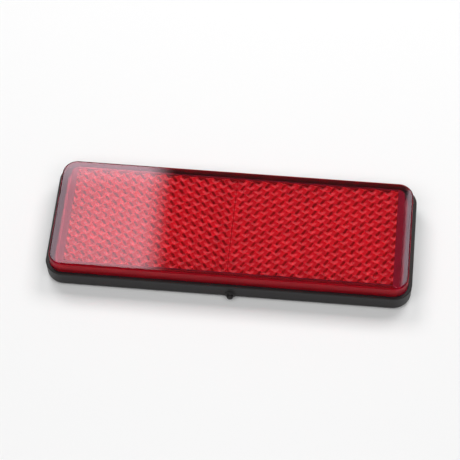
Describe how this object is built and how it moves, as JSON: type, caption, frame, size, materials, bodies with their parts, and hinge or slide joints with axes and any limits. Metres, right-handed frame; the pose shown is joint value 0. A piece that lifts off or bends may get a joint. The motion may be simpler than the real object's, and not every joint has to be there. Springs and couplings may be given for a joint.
{
  "type": "rectangular reflector",
  "caption": "Rectangular red reflector: clear red lens with a corner-cube prism field, welded into a shallow black tray with a flat stick-on back.",
  "frame": {"origin": "middle of the adhesive pad's sticking face, on which the reflector lies", "axes": "+X along the length, +Y across the width away from the gate vestige, +Z out of the lens face"},
  "size_m": [0.0964, 0.0362, 0.0092],
  "materials": {
    "red_lens": "polished, clear red acrylic",
    "black_housing": "fine satin, moulded ABS",
    "foam_pad": "matt closed-cell foam"
  },
  "bodies": {
    "root": {"lens": "red_lens", "housing": "black_housing", "adhesive_pad": "foam_pad"}
  },
  "joints": []
}
